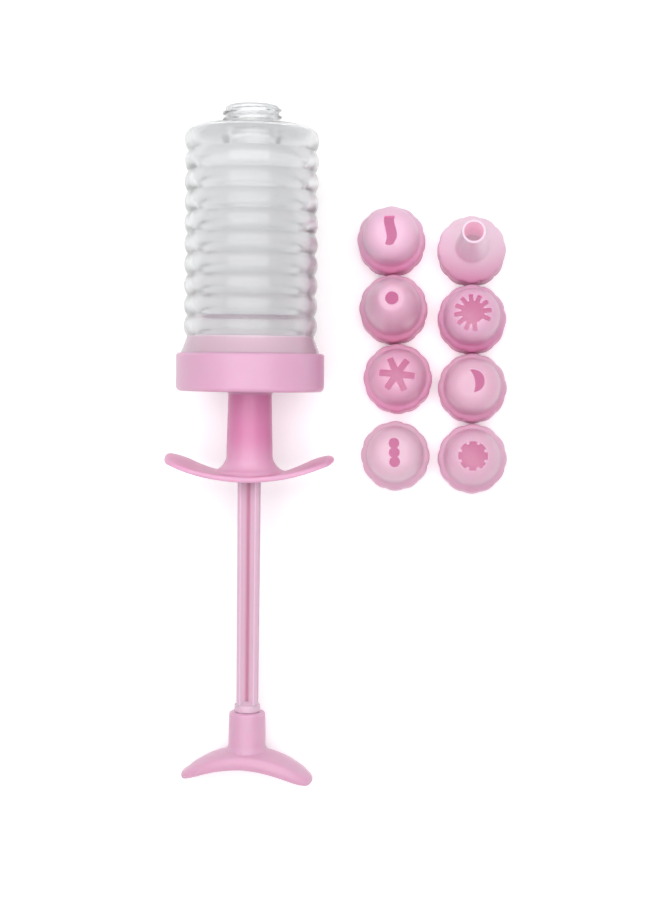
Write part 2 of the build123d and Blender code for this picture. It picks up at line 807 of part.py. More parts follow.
export_step(nozzle_star_large.part, "parts/nozzle_star_large.step")
nozzle_crescent.part.label = "nozzle_crescent"
export_step(nozzle_crescent.part, "parts/nozzle_crescent.step")
nozzle_rosette.part.label = "nozzle_rosette"
export_step(nozzle_rosette.part, "parts/nozzle_rosette.step")
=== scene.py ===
import bmesh
import bpy
import json
from functools import partial
from math import acos, atan2, cos, degrees, dist, exp, hypot, log, pi, radians, sin, sqrt, tan, tau
from mathutils import Matrix, Vector


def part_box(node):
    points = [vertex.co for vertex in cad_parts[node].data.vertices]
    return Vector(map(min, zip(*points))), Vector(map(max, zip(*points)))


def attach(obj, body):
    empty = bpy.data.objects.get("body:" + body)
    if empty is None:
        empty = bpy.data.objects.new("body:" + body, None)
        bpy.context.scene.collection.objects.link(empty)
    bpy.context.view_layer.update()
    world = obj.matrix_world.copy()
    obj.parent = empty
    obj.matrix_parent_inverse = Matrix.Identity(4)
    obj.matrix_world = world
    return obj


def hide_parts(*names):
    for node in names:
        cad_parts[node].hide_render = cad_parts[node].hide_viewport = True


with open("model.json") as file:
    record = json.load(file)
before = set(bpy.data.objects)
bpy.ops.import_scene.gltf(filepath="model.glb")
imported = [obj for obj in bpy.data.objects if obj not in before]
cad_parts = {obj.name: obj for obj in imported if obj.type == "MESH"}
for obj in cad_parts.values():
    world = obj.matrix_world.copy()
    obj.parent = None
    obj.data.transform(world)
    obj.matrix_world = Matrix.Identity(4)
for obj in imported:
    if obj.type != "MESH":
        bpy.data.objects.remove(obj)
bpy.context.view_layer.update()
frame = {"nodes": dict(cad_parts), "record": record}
mm = 0.001

joints = {joint["name"]: joint for joint in frame["record"]["behaviour"]["joints"]}
penAxis = Vector(joints["plunger_spin"]["axis"])
penOrigin = Vector(joints["plunger_spin"]["pos_m"])  # on the pen's axis, under the collar
penTurn = Vector((0, 0, 1)).rotation_difference(penAxis)
penPlace = Matrix.Translation(penOrigin) @ penTurn.to_matrix().to_4x4()


def addObject(name, data):
    thing = bpy.data.objects.new(name, data)
    bpy.context.scene.collection.objects.link(thing)
    return thing


def pick(size, *keys):
    return (size[key] for key in keys)


# node trees

def feed(tree, socket, value):
    if isinstance(value, bpy.types.NodeSocket):
        tree.links.new(value, socket)
    else:
        socket.default_value = value


def addNode(tree, kind, inputs=None, **settings):  # inputs: a value or another node's output for each
    node = tree.nodes.new(kind)
    for key, value in settings.items():
        setattr(node, key, value)
    for key, value in (inputs or {}).items():
        feed(tree, node.inputs[key], value)
    return node


def addSockets(tree, way, sockets):  # each with its default value, or with only its kind
    kinds = {int: "Int", float: "Float", tuple: "Color"}
    for name, value in sockets.items():
        kind = kinds.get(type(value), value)
        socket = tree.interface.new_socket(name, in_out=way, socket_type="NodeSocket" + kind)
        if kind != value:
            socket.default_value = value


def calc(tree, operation, *values):
    return addNode(tree, "ShaderNodeMath", dict(enumerate(values)), operation=operation).outputs[0]


def vectorCalc(tree, operation, *values):
    return addNode(tree, "ShaderNodeVectorMath", dict(enumerate(values)), operation=operation).outputs


def blendFloat(tree, factor, low, high):
    return addNode(tree, "ShaderNodeMix", {0: factor, 2: low, 3: high}, data_type="FLOAT").outputs[0]


def ramp(tree, value, low, high, curve="SMOOTHSTEP"):  # 0 to 1 between two values
    inputs = {0: value, 1: low, 2: high}
    return addNode(tree, "ShaderNodeMapRange", inputs, interpolation_type=curve).outputs[0]


def objectPlace(tree):
    return addNode(tree, "ShaderNodeTexCoord").outputs["Object"]


def fromPoint(tree, origin):
    return vectorCalc(tree, "SUBTRACT", objectPlace(tree), origin)[0]


def alongLine(tree, origin, direction):  # how far along a line, in metres
    return vectorCalc(tree, "DOT_PRODUCT", fromPoint(tree, origin), direction)["Value"]


def offLine(tree, origin, direction):  # how far away from a line, in metres
    across = vectorCalc(tree, "CROSS_PRODUCT", fromPoint(tree, origin), direction)[0]
    return vectorCalc(tree, "LENGTH", across)["Value"]


# plastics
moulding = {"flowDetail": 3.0, "flowBend": 0.6, "grainDetail": 2.0, "grainHeight": 0.04 * mm}


def makeGrainGroup(size):  # faint flow marks and the fine texture of moulded plastic
    group = bpy.data.node_groups.new("mouldedSurface", "ShaderNodeTree")
    addSockets(group, "INPUT", {
        "Base": (0.8, 0.8, 0.8, 1), "Tone": 0.05, "Flow Scale": 60.0, "Grain Scale": 2500.0,
        "Roughness": 0.3, "Roughness Spread": 0.08, "Bump": 0.05})
    addSockets(group, "OUTPUT", {"Color": "Color", "Roughness": "Float", "Normal": "Vector"})
    given = addNode(group, "NodeGroupInput").outputs
    place = objectPlace(group)
    flow = addNode(group, "ShaderNodeTexNoise", {
        "Vector": place, "Scale": given["Flow Scale"], "Detail": size["flowDetail"],
        "Distortion": size["flowBend"]})
    grain = addNode(group, "ShaderNodeTexNoise", {
        "Vector": place, "Scale": given["Grain Scale"], "Detail": size["grainDetail"]})
    swing = calc(group, "SUBTRACT", flow.outputs["Fac"], 0.5)
    amount = calc(group, "MULTIPLY_ADD", calc(group, "MULTIPLY", swing, given["Tone"]), 2.0, 1.0)
    shade = addNode(group, "ShaderNodeVectorMath", {0: given["Base"], "Scale": amount}, operation="SCALE")
    rough = calc(group, "MULTIPLY_ADD", swing, given["Roughness Spread"], given["Roughness"])
    bump = addNode(group, "ShaderNodeBump", {
        "Distance": size["grainHeight"], "Strength": given["Bump"], "Height": grain.outputs["Fac"]})
    addNode(group, "NodeGroupOutput", {
        "Color": shade.outputs[0], "Roughness": rough, "Normal": bump.outputs["Normal"]})
    return group


grainGroup = makeGrainGroup(moulding)


def tint(*shown):  # a colour as a screen shows it, 0 to 255
    shares = [value / 255 for value in shown]
    linear = [s / 12.92 if s <= 0.04045 else ((s + 0.055) / 1.055) ** 2.4 for s in shares]
    return (*linear, 1.0)


def makePlastic(name, look):  # Zone: where the base colour takes over from the deep one
    material = bpy.data.materials.new(name)
    material.use_nodes = True
    tree = material.node_tree
    shader = tree.nodes["Principled BSDF"]
    surface = addNode(tree, "ShaderNodeGroup", node_tree=grainGroup)
    for key, value in look.items():
        if key not in ("Deep", "Zone"):
            owner = surface if key in surface.inputs else shader
            owner.inputs[key].default_value = value
    if look.get("Zone"):
        measure, origin, direction, *fades = look["Zone"]
        distance = measure(tree, origin, direction)
        mask, *others = (ramp(tree, distance, *fade) for fade in fades)
        for other in others:
            mask = calc(tree, "MAXIMUM", mask, other)
        colours = {0: mask, 6: look["Deep"], 7: look["Base"]}
        shift = addNode(tree, "ShaderNodeMix", colours, data_type="RGBA")
        feed(tree, surface.inputs["Base"], shift.outputs[2])
    for key, output in (("Base Color", "Color"), ("Roughness", "Roughness"), ("Normal", "Normal")):
        feed(tree, shader.inputs[key], surface.outputs[output])
    return material


pinkLook = {"Base": tint(232, 168, 203), "Tone": 0.04, "Flow Scale": 45.0, "Grain Scale": 2400.0,
            "Roughness": 0.33, "Roughness Spread": 0.1, "Bump": 0.08, "IOR": 1.47,
            "Subsurface Weight": 0.7, "Subsurface Scale": 0.003, "Subsurface Radius": (1.0, 0.45, 0.65)}
pinkPlastic = makePlastic("pinkPlastic", {  # deep on the guide column, paler on the wings and the collar
    **pinkLook, "Base": tint(229, 176, 205), "Deep": tint(217, 139, 181),
    "Zone": (alongLine, penOrigin, penAxis, (-0.016, -0.031), (-0.002, 0.001))})
thumbPlastic = makePlastic("thumbPlastic", {**pinkLook, "Base": tint(224, 175, 202)})
rodPlastic = makePlastic("rodPlastic", {  # painted shade: deeper pink near the axis, in the grooves between the fins
    **pinkLook, "Base": tint(227, 192, 212), "Deep": tint(192, 116, 148), "Roughness": 0.36,
    "Flow Scale": 30.0, "Subsurface Weight": 0.3,
    "Zone": (offLine, penOrigin, penAxis, (0.0012, 0.0032))})

clearLook = {"Base": tint(251, 252, 253), "Deep": tint(252, 222, 238), "Tone": 0.01,
             "Flow Scale": 40.0, "Grain Scale": 1500.0, "Roughness": 0.16, "Roughness Spread": 0.04,
             "Bump": 0.04, "IOR": 1.45, "Transmission Weight": 0.83,
             "Zone": (alongLine, penOrigin, penAxis, (0.012, 0.026))}  # painted pink reflection of the pink parts, towards the foot
clearPlastic = makePlastic("clearPlastic", clearLook)
# the foot's pink is painted: it stands for the pink collar and piston seen through the clear foot and
# reflected in it
footPlastic = makePlastic("footPlastic", {**clearLook, "Base": clearLook["Deep"], "Roughness": 0.1,
                                          "Transmission Weight": 0.42, "Zone": None})

nozzleLook = {**pinkLook, "Roughness": 0.36, "Subsurface Weight": 0.5, "Subsurface Scale": 0.0015}
# painted light: piston and seal are paler than their own pink, to make up for the shade they sit in behind
# the clear foot
pistonPlastic = makePlastic("pistonPlastic", {**nozzleLook, "Base": tint(252, 214, 234)})
sealRubber = makePlastic("sealRubber", {**nozzleLook, "Base": tint(250, 205, 228), "Roughness": 0.55})


def makeGlowingInside(name, base, glow, strength):  # painted glow: the inside surfaces emit pink light in place of the daylight that comes through the nozzles' thin walls
    return makePlastic(name, {**nozzleLook, "Base": tint(*base), "Roughness": 0.5,
                              "Emission Color": (*glow, 1), "Emission Strength": strength})


insideGlowPlastic = makeGlowingInside("insideGlowPlastic", (226, 154, 192), (1.0, 0.52, 0.8), 0.22)
wideInsideGlowPlastic = makeGlowingInside("wideInsideGlowPlastic", (226, 134, 182), (1.0, 0.36, 0.74), 0.18)
tubeInsideGlowPlastic = makeGlowingInside("tubeInsideGlowPlastic", (234, 192, 212), (1.0, 0.84, 0.92), 0.18)
print("materials made")

# one tree turns profile points into a round form, with scallops, a thread and an outlet
turning = {"threadPitch": 2.6, "threadDepth": 1.1, "threadRoot": 1.7, "threadCrest": 0.6,
           "threadFade": 0.12, "ridgeFoot": 0.5, "ridgeTop": 0.35, "mergeDistance": 0.001}


def makeTurnedTree(size):
    tree = bpy.data.node_groups.new("turnedForm", "GeometryNodeTree")
    addSockets(tree, "INPUT", {
        "Profile": "Geometry", "Segments": 160, "Rows": 2, "Scallops": 12, "Scallop Radius": 7.2 * mm,
        "Crest Radius": 13.85 * mm, "Thread Start": 0.0, "Thread Turns": 2.0,
        "Thread Pitch": size["threadPitch"] * mm, "Thread Depth": size["threadDepth"] * mm,
        "Thread Root": size["threadRoot"] * mm, "Thread Crest": size["threadCrest"] * mm,
        "Dome Base": 0.0, "Dome Flat": 3.7 * mm, "Material": "Material"})
    addSockets(tree, "OUTPUT", {"Form": "Geometry"})
    given = addNode(tree, "NodeGroupInput").outputs
    rows, segments, lobeRadius, crest = pick(given, "Rows", "Segments", "Scallop Radius", "Crest Radius")
    pitch, threadTurns = pick(given, "Thread Pitch", "Thread Turns")
    plus, minus, times = (partial(calc, tree, name) for name in ("ADD", "SUBTRACT", "MULTIPLY"))
    root, whole = partial(calc, tree, "SQRT"), partial(calc, tree, "ROUND")
    sine, cosine = partial(calc, tree, "SINE"), partial(calc, tree, "COSINE")

    def split(vector):
        return addNode(tree, "ShaderNodeSeparateXYZ", {0: vector}).outputs

    grid = addNode(tree, "GeometryNodeMeshGrid", {
        "Size X": 1.0, "Size Y": 1.0, "Vertices X": rows, "Vertices Y": plus(segments, 1.0)})
    spot = split(addNode(tree, "GeometryNodeInputPosition").outputs[0])
    turn = plus(spot["Y"], 0.5)  # 0 to 1 round the axis
    row = whole(times(plus(spot["X"], 0.5), minus(rows, 1.0)))
    outlineRow = plus(rows, calc(tree, "MODULO", whole(times(turn, segments)), segments))

    def fromProfile(index, mask=None):  # a row's place, or one of its masks
        if mask:
            source = addNode(tree, "GeometryNodeInputNamedAttribute", {"Name": mask}, data_type="FLOAT")
        else:
            source = addNode(tree, "GeometryNodeInputPosition")
        inputs = {"Geometry": given["Profile"], "Value": source.outputs[0], "Index": index}
        kind = "FLOAT" if mask else "FLOAT_VECTOR"
        return addNode(tree, "GeometryNodeSampleIndex", inputs, data_type=kind, domain="POINT").outputs[0]

    point, outline = split(fromProfile(row)), split(fromProfile(outlineRow))
    radius, height = point["X"], point["Z"]
    angle = times(turn, tau)

    # scallops: a ring of large lobes instead of one circle
    lobe = calc(tree, "DIVIDE", tau, given["Scallops"])
    half = times(lobe, 0.5)
    offLobe = minus(calc(tree, "MODULO", plus(angle, half), lobe), half)
    reach = minus(crest, lobeRadius)
    side = times(reach, sine(offLobe))
    bulge = root(minus(times(lobeRadius, lobeRadius), times(side, side)))
    lobeEdge = plus(times(reach, cosine(offLobe)), bulge)
    dent = times(minus(lobeEdge, crest), fromProfile(row, "scallop"))

    # thread: a ridge that climbs once round for each pitch
    climb = minus(calc(tree, "DIVIDE", minus(height, given["Thread Start"]), pitch), turn)
    nearest = whole(climb)
    offRidge = times(calc(tree, "ABSOLUTE", minus(climb, nearest)), pitch)
    ridge = ramp(tree, offRidge, times(given["Thread Root"], size["ridgeFoot"]),
                 times(given["Thread Crest"], size["ridgeTop"]))
    wound = plus(nearest, turn)
    fadeOut = ramp(tree, wound, threadTurns, minus(threadTurns, size["threadFade"]))
    fade = times(ramp(tree, wound, 0.0, size["threadFade"]), fadeOut)
    depth = times(given["Thread Depth"], fromProfile(row, "thread"))
    radius = plus(plus(radius, dent), times(times(ridge, fade), depth))

    # outlets: rows near the top change from a circle to the outlet's outline, on a dome
    toOutlet = fromProfile(row, "outlet")
    across = blendFloat(tree, toOutlet, times(radius, cosine(angle)), outline["X"])
    upward = blendFloat(tree, toOutlet, times(radius, sine(angle)), outline["Y"])
    distance = root(plus(times(across, across), times(upward, upward)))
    slope = ramp(tree, distance, given["Dome Flat"], fromProfile(row, "side"), "LINEAR")
    arch = root(minus(1.0, times(slope, slope)))
    lean = times(fromProfile(row, "lean"), minus(1.0, slope))
    dome = plus(plus(given["Dome Base"], lean), times(fromProfile(row, "crown"), arch))
    height = blendFloat(tree, fromProfile(row, "domed"), height, plus(dome, height))

    place = addNode(tree, "ShaderNodeCombineXYZ", {"X": across, "Y": upward, "Z": height}).outputs[0]
    form = grid.outputs["Mesh"]
    for kind, inputs in (
            ("GeometryNodeSetPosition", {"Position": place}),
            ("GeometryNodeMergeByDistance", {"Distance": size["mergeDistance"] * mm}),
            ("GeometryNodeFlipFaces", {}), ("GeometryNodeSetShadeSmooth", {}),
            ("GeometryNodeRealizeInstances", {}),
            ("GeometryNodeSetMaterial", {"Material": given["Material"]})):
        form = addNode(tree, kind, {0: form, **inputs}).outputs[0]
    addNode(tree, "NodeGroupOutput", {"Form": form})
    return tree


turnedTree = makeTurnedTree(turning)


def plainMesh(source, name, material):  # what an object's modifiers make of it
    bpy.context.view_layer.update()
    shaped = source.evaluated_get(bpy.context.evaluated_depsgraph_get())
    mesh = bpy.data.meshes.new_from_object(shaped)
    mesh.name = name
    bpy.data.objects.remove(source)
    mesh.materials.clear()
    mesh.materials.append(material)
    return mesh


def paintFaces(piece, material, chosen):
    piece.data.materials.append(material)
    for face in piece.data.polygons:
        if chosen(face):
            face.material_index = 1


def finishMesh(name, mesh, place, crease=40):  # sharper edges than crease stay sharp
    mesh.transform(place)
    mesh.set_sharp_from_angle(angle=radians(crease))
    return addObject(name, mesh)


def turnForm(name, rows, material, place, settings, outline=(), crease=40):  # rows: r, z and masks, mm
    points = [(row["r"] * mm, 0, row["z"] * mm) for row in rows]
    points += [(x * mm, y * mm, 0) for x, y in outline]
    seed = bpy.data.meshes.new(name + "Profile")
    seed.from_pydata(points, [], [])
    for mask in ("scallop", "thread", "outlet", "domed", "side", "crown", "lean"):
        values = [row.get(mask, 0.0) for row in rows] + [0.0] * len(outline)
        seed.attributes.new(mask, "FLOAT", "POINT").data.foreach_set("value", values)
    carrier = addObject(name + "Carrier", seed)
    modifier = carrier.modifiers.new("turned", "NODES")
    modifier.node_group = turnedTree
    values = {**settings, "Rows": len(rows), "Material": material}
    for item in turnedTree.interface.items_tree:
        if item.item_type == "SOCKET" and item.in_out == "INPUT" and item.name in values:
            modifier[item.identifier] = values[item.name]
    return finishMesh(name, plainMesh(carrier, name, material), place, crease)


# points and rows of a profile, in millimetres and degrees

def between(start, end, share):
    return start[0] + (end[0] - start[0]) * share, start[1] + (end[1] - start[1]) * share


def arc(centre, radius, start, end, count):
    angles = [radians(start + (end - start) * step / (count - 1)) for step in range(count)]
    return [(centre[0] + radius * cos(angle), centre[1] + radius * sin(angle)) for angle in angles]


def ellipse(across, deep, height, sides=96):
    angles = [side * tau / sides for side in range(sides)]
    return [(across * cos(angle), deep * sin(angle), height) for angle in angles]


def turned(points, angle):
    c, s = cos(radians(angle)), sin(radians(angle))
    return [(x * c - y * s, x * s + y * c) for x, y in points]


def arcThrough(start, middle, end, count):  # on the circle through three points, without the last one
    (ax, ay), (bx, by), (cx, cy) = start, middle, end
    aa, bb, cc = ax ** 2 + ay ** 2, bx ** 2 + by ** 2, cx ** 2 + cy ** 2
    twice = 2 * (ax * (by - cy) + bx * (cy - ay) + cx * (ay - by))
    ux = (aa * (by - cy) + bb * (cy - ay) + cc * (ay - by)) / twice
    uy = (aa * (cx - bx) + bb * (ax - cx) + cc * (bx - ax)) / twice
    radius = hypot(ax - ux, ay - uy)
    first, mid, last = (atan2(y - uy, x - ux) for x, y in (start, middle, end))
    sweep = (last - first) % tau
    if (mid - first) % tau > sweep:
        sweep -= tau
    angles = [first + sweep * step / count for step in range(count)]
    return [(ux + radius * cos(angle), uy + radius * sin(angle)) for angle in angles]


def shifted(point, shift):
    return point[0] + shift[0], point[1] + shift[1]


def corners(*points, **masks):
    return [{"r": r, "z": z, **masks} for r, z in points]


def lineRows(start, end, count, **masks):
    return corners(*(between(start, end, step / (count - 1)) for step in range(count)), **masks)


def arcRows(centre, radius, start, end, count, **masks):
    return corners(*arc(centre, radius, start, end, count), **masks)


# barrel: clear ribbed cylinder with a flared foot, a shoulder and a threaded neck
barrel = {"bore": 23.4, "root": 24.8, "crest": 26.2, "pitch": 8.0, "firstRoot": 21.5, "ribs": 10,
          "foot": 27.5, "footBottom": 2.1, "footEdge": 0.6, "footMargin": 0.2, "flareBottom": 14.5,
          "shoulderTop": 102.8, "shoulderRadius": 4.5, "shoulderWall": 1.6, "ceilingRadius": 2.0,
          "neckCore": 10.5, "neckRing": 3.0, "neckFoot": 0.5, "neckRise": 0.4, "neckBore": 8.4,
          "neckTop": 111.2, "neckEdge": 1.1, "bevel": 0.3, "threadStart": 1.5, "threadTurns": 2.1,
          "threadRows": 52, "softness": 0.16, "rowStep": 0.5, "segments": 216}


def ribbedWall(size):  # a flare and round ribs that flow into each other
    foot, root, crest, pitch = pick(size, "foot", "root", "crest", "pitch")
    start, firstRoot, soft = pick(size, "flareBottom", "firstRoot", "softness")
    sag = crest - root
    curve = (pitch ** 2 / 4 + sag ** 2) / (2 * sag)
    lastCrest = firstRoot + (size["ribs"] - 0.5) * pitch
    rows = []
    height = start
    while height < lastCrest:
        forms = [foot - (height - start) * (foot - root) / (firstRoot - start)]
        for rib in range(size["ribs"]):
            off = height - firstRoot - (rib + 0.5) * pitch
            if abs(off) < curve * 0.9:  # where the rib's circle isn't steep
                forms.append(crest - curve + sqrt(curve ** 2 - off ** 2))
        high = max(forms)
        blend = high + soft * log(sum(exp((form - high) / soft) for form in forms))
        rows += corners((min(blend, foot), height))
        height += size["rowStep"]
    return rows + corners((crest, lastCrest), (crest, size["shoulderTop"] - size["shoulderRadius"]))


def makeBarrel(size):
    foot, bottom, bore, bevel = pick(size, "foot", "footBottom", "bore", "bevel")
    roof, shoulder, inner = pick(size, "shoulderTop", "shoulderRadius", "ceilingRadius")
    core, neckBore, neckTop, edge = pick(size, "neckCore", "neckBore", "neckTop", "neckEdge")
    ceiling = roof - size["shoulderWall"]
    rows = corners((bore, bottom), (foot - size["footEdge"], bottom), (foot, bottom + size["footEdge"]),
                   (foot, size["flareBottom"] - bevel))
    rows += ribbedWall(size)
    rows += arcRows((size["crest"] - shoulder, roof - shoulder), shoulder, 9, 90, 10)
    rows += corners((core + size["neckRing"], roof), (core + size["neckFoot"], roof))
    start = (core, roof + size["neckRise"])
    rows += lineRows(start, (core, neckTop - edge), size["threadRows"], thread=1.0)
    rows += arcRows((core - edge, neckTop - edge), edge, 15, 90, 6)
    rows += corners((neckBore + bevel, neckTop), (neckBore, neckTop - bevel), (neckBore, ceiling + bevel),
                    (neckBore + bevel, ceiling), (bore - inner, ceiling))
    rows += arcRows((bore - inner, ceiling - inner), inner, 80, 0, 6)
    rows += lineRows((bore, ceiling - 2 * inner), (bore, bottom + inner), 8)
    rows += rows[:1]
    settings = {"Segments": size["segments"], "Thread Start": (roof + size["threadStart"]) * mm,
                "Thread Turns": size["threadTurns"]}
    piece = turnForm("barrelShell", rows, clearPlastic, penPlace, settings)
    end = (size["firstRoot"] - size["footMargin"]) * mm
    paintFaces(piece, footPlastic, lambda face: (face.center - penOrigin).dot(penAxis) < end)
    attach(piece, "barrel_unit")
    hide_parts("barrel")


makeBarrel(barrel)
print("barrel made")


# bowed leaves: the finger wings and the thumb plate are lofts of curled strips

def smoothShares(stations, values, position):  # a curve through the shares, flat at the middle
    side = list(zip(stations, values))
    points = [(-a, b) for a, b in reversed(side[1:])] + side
    index = 1
    while index < len(points) - 2 and points[index + 1][0] < position:
        index += 1
    before, low, high = points[index - 1:index + 2]
    after = points[min(index + 2, len(points) - 1)]
    span = high[0] - low[0]
    t = (position - low[0]) / span
    slopeLow = (high[1] - before[1]) / (high[0] - before[0]) * span
    slopeHigh = (after[1] - low[1]) / (after[0] - low[0]) * span
    return ((2 * t ** 3 - 3 * t ** 2 + 1) * low[1] + (t ** 3 - 2 * t ** 2 + t) * slopeLow
            + (3 * t ** 2 - 2 * t ** 3) * high[1] + (t ** 3 - t ** 2) * slopeHigh)


def leafSlice(size, crown, drop, halfDepth, thickness, faceSteps=26, lipSteps=6):
    edge, base = crown - drop, crown - thickness
    under = base - drop * size["underShare"]
    middle, lip = (edge + under) / 2, halfDepth + size["lip"]
    top = arcThrough((-halfDepth, edge), (0, crown), (halfDepth, edge), faceSteps)
    near = arcThrough((halfDepth, edge), (lip, middle), (halfDepth, under), lipSteps)
    bottom = arcThrough((halfDepth, under), (0, base), (-halfDepth, under), faceSteps)
    far = arcThrough((-halfDepth, under), (-lip, middle), (-halfDepth, edge), lipSteps)
    return top + near + bottom + far


def loftRings(rings):
    verts = [point for ring in rings for point in ring]
    count = len(rings[0])
    faces = []
    for row in range(len(rings) - 1):
        for step in range(count):
            a, b = row * count + step, row * count + (step + 1) % count
            faces.append((a, b, b + count, a + count))
    ends = [tuple(range(count))[::-1], tuple(range(len(verts) - count, len(verts)))]
    return verts, faces + ends


def leafForm(size, leastCurl=0.02, leastTip=0.06):
    rings = []
    for step in range(size["slices"]):
        share = sin(radians(-90 + 180 * step / (size["slices"] - 1)))  # closer at the tips
        rise, curl, depth, thick = (smoothShares(size["stations"], values, share)
                                    for values in pick(size, "rise", "curl", "depth", "thick"))
        thick *= 1 + size["swell"] * share
        ring = leafSlice(size, size["crown"] + rise * size["riseSize"],
                         max(curl, leastCurl) * size["curlSize"], depth * size["halfDepth"],
                         thick * size["thickness"])
        past = max(0, (abs(share) - 1 + size["tip"]) / size["tip"])
        close = max(sqrt(max(0, 1 - past ** 2)), leastTip)
        middle = (min(z for y, z in ring) + max(z for y, z in ring)) / 2
        rings.append([(share * size["halfSpan"], y * close, middle + (z - middle) * close) for y, z in ring])
    return loftRings(rings)


def oneMesh(name, parts):  # several closed forms in one mesh, in metres, all facing out
    verts, faces = [], []
    for partVerts, partFaces in parts:
        start = len(verts)
        verts += [(x * mm, y * mm, z * mm) for x, y, z in partVerts]
        faces += [tuple(i + start for i in face) for face in partFaces]
    mesh = bpy.data.meshes.new(name)
    mesh.from_pydata(verts, [], faces)
    work = bmesh.new()
    work.from_mesh(mesh)
    bmesh.ops.recalc_face_normals(work, faces=work.faces)
    work.to_mesh(mesh)
    work.free()
    return mesh


def polishRound(mesh, top, bottom, radiusTop, radiusBottom, skin=0.3, blend=2.0):
    for vertex in mesh.vertices:  # takes the voxel steps out of a stem
        height, reach = vertex.co.z / mm, hypot(vertex.co.x, vertex.co.y) / mm
        radius = radiusTop + (radiusBottom - radiusTop) * (top - height) / (top - bottom)
        weight = min(1, max(0, min(top - height, height - bottom) / blend))
        if abs(reach - radius) < skin:
            scale = 1 + (radius / reach - 1) * weight
            vertex.co.x *= scale
            vertex.co.y *= scale


melting = {"passes": 10, "factor": 0.5, "drillSides": 72}


def meltTogether(name, parts, voxel, hole, stem, material, place):  # one moulding, drilled
    bore, *ends = hole
    rings = [ellipse(bore, bore, z, melting["drillSides"]) for z in ends]
    drill = addObject(name + "Drill", oneMesh(name + "Drill", [loftRings(rings)]))
    solid = addObject(name + "Rough", oneMesh(name, parts))
    remesh = solid.modifiers.new("melt", "REMESH")
    remesh.mode = "VOXEL"
    remesh.voxel_size = voxel * mm
    smooth = solid.modifiers.new("soften", "SMOOTH")
    smooth.factor, smooth.iterations = melting["factor"], melting["passes"]
    cut = solid.modifiers.new("drill", "BOOLEAN")
    cut.operation, cut.object, cut.solver = "DIFFERENCE", drill, "EXACT"
    mesh = plainMesh(solid, name, material)
    bpy.data.objects.remove(drill)
    mesh.shade_smooth()
    polishRound(mesh, *stem)
    return finishMesh(name, mesh, place)


def joinPieces(first, *others):
    with bpy.context.temp_override(active_object=first, selected_editable_objects=[first, *others]):
        bpy.ops.object.join()
    return first


# rear cap: collar, guide column and finger wings in one moulding
wings = {"halfSpan": 33.6, "halfDepth": 14.4, "crown": -32.9, "riseSize": 8.1, "curlSize": 2.7,
         "thickness": 2.2, "lip": 0.35, "underShare": 1.0, "slices": 90, "tip": 0.07, "swell": 0,
         "stations": (0, 0.36, 0.57, 0.76, 0.9, 1), "rise": (0, 0.14, 0.46, 0.82, 0.99, 1.02),
         "curl": (0.03, 0.08, 0.55, 1, 0.95, 0.8), "depth": (0.97, 0.99, 1, 0.94, 0.76, 0.5),
         "thick": (1, 1, 0.96, 0.9, 0.84, 0.75)}
column = {"top": 8.55, "foot": 9.15, "length": 25.5, "rootFillet": 1.2, "root": 1.0, "drop": 7.4,
          "reach": 5.9, "depth": 2.4, "downShares": (0, 0.3, 0.55, 0.71, 0.8),
          "outShares": (0, 0.11, 0.34, 0.62, 1), "footShare": 0.55, "footDepth": 3.9, "sink": 0.55,
          "bore": 6.2, "drillEnds": (-43.0, 4.0), "voxel": 0.36, "straightSteps": 30, "flareSteps": 24,
          "stemMargins": (0.3, 1.0)}
collar = {"radius": 29.08, "bore": 27.58, "height": 15.0, "floor": 2.0, "rim": 1.2, "edge": 1.8,
          "wallMargins": (0.5, 0.4), "bevel": 0.2, "fillet": 0.3, "holeEdge": 0.1, "segments": 224}


def columnForm(size):
    top, foot, fillet, length = pick(size, "top", "foot", "rootFillet", "length")
    rings = [ellipse(top + fillet, top + fillet, size["root"])]
    for angle in range(0, 91, 15):
        reach = top + fillet * (1 - sin(radians(angle)))
        down = -fillet * (1 - cos(radians(angle)))
        rings.append(ellipse(reach, reach, down - 0.001 * angle))  # no two rings at one height
    for step in range(1, size["straightSteps"]):
        t = step / size["straightSteps"]
        radius = top + (foot - top) * t
        rings.append(ellipse(radius, radius, -fillet - (length - fillet) * t))
    for step in range(size["flareSteps"] + 1):
        t = step / size["flareSteps"] * size["downShares"][-1]
        share = smoothShares(size["downShares"], size["outShares"], t)
        rings.append(ellipse(foot + share * size["reach"], foot + share * size["depth"],
                             -length - t * size["drop"]))
    rings.append(ellipse(foot + size["footShare"] * size["reach"], foot + size["footDepth"],
                         -length - size["drop"] - size["sink"]))
    return loftRings(rings)


def makeRearCap(size):
    radius, height, bore, floor, fillet = pick(size, "radius", "height", "bore", "floor", "fillet")
    edge, rim, bevel, holeEdge, (low, high) = pick(size, "edge", "rim", "bevel", "holeEdge", "wallMargins")
    hole = column["bore"]
    rows = arcRows((radius - edge, edge), edge, 270, 360, 10)
    rows += lineRows((radius, edge + low), (radius, height - rim - high), 5)
    rows += arcRows((radius - rim, height - rim), rim, 0, 90, 9)
    rows += corners((bore + bevel, height), (bore, height - bevel), (bore, floor + fillet),
                    (bore - fillet, floor), (hole + bevel, floor), (hole, floor - bevel),
                    (hole, holeEdge), (hole + holeEdge, 0.0))
    rows += rows[:1]
    ring = turnForm("rearCap", rows, pinkPlastic, penPlace, {"Segments": size["segments"]})
    above, below = column["stemMargins"]
    stem = (-column["rootFillet"] - above, -column["length"] + below, column["top"], column["foot"])
    grip = meltTogether("grip", [columnForm(column), leafForm(wings)], column["voxel"],
                        (hole, *column["drillEnds"]), stem, pinkPlastic, penPlace)
    piece = joinPieces(ring, grip)
    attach(piece, "grip")
    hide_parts("rear_cap")


makeRearCap(collar)
print("rear cap made")

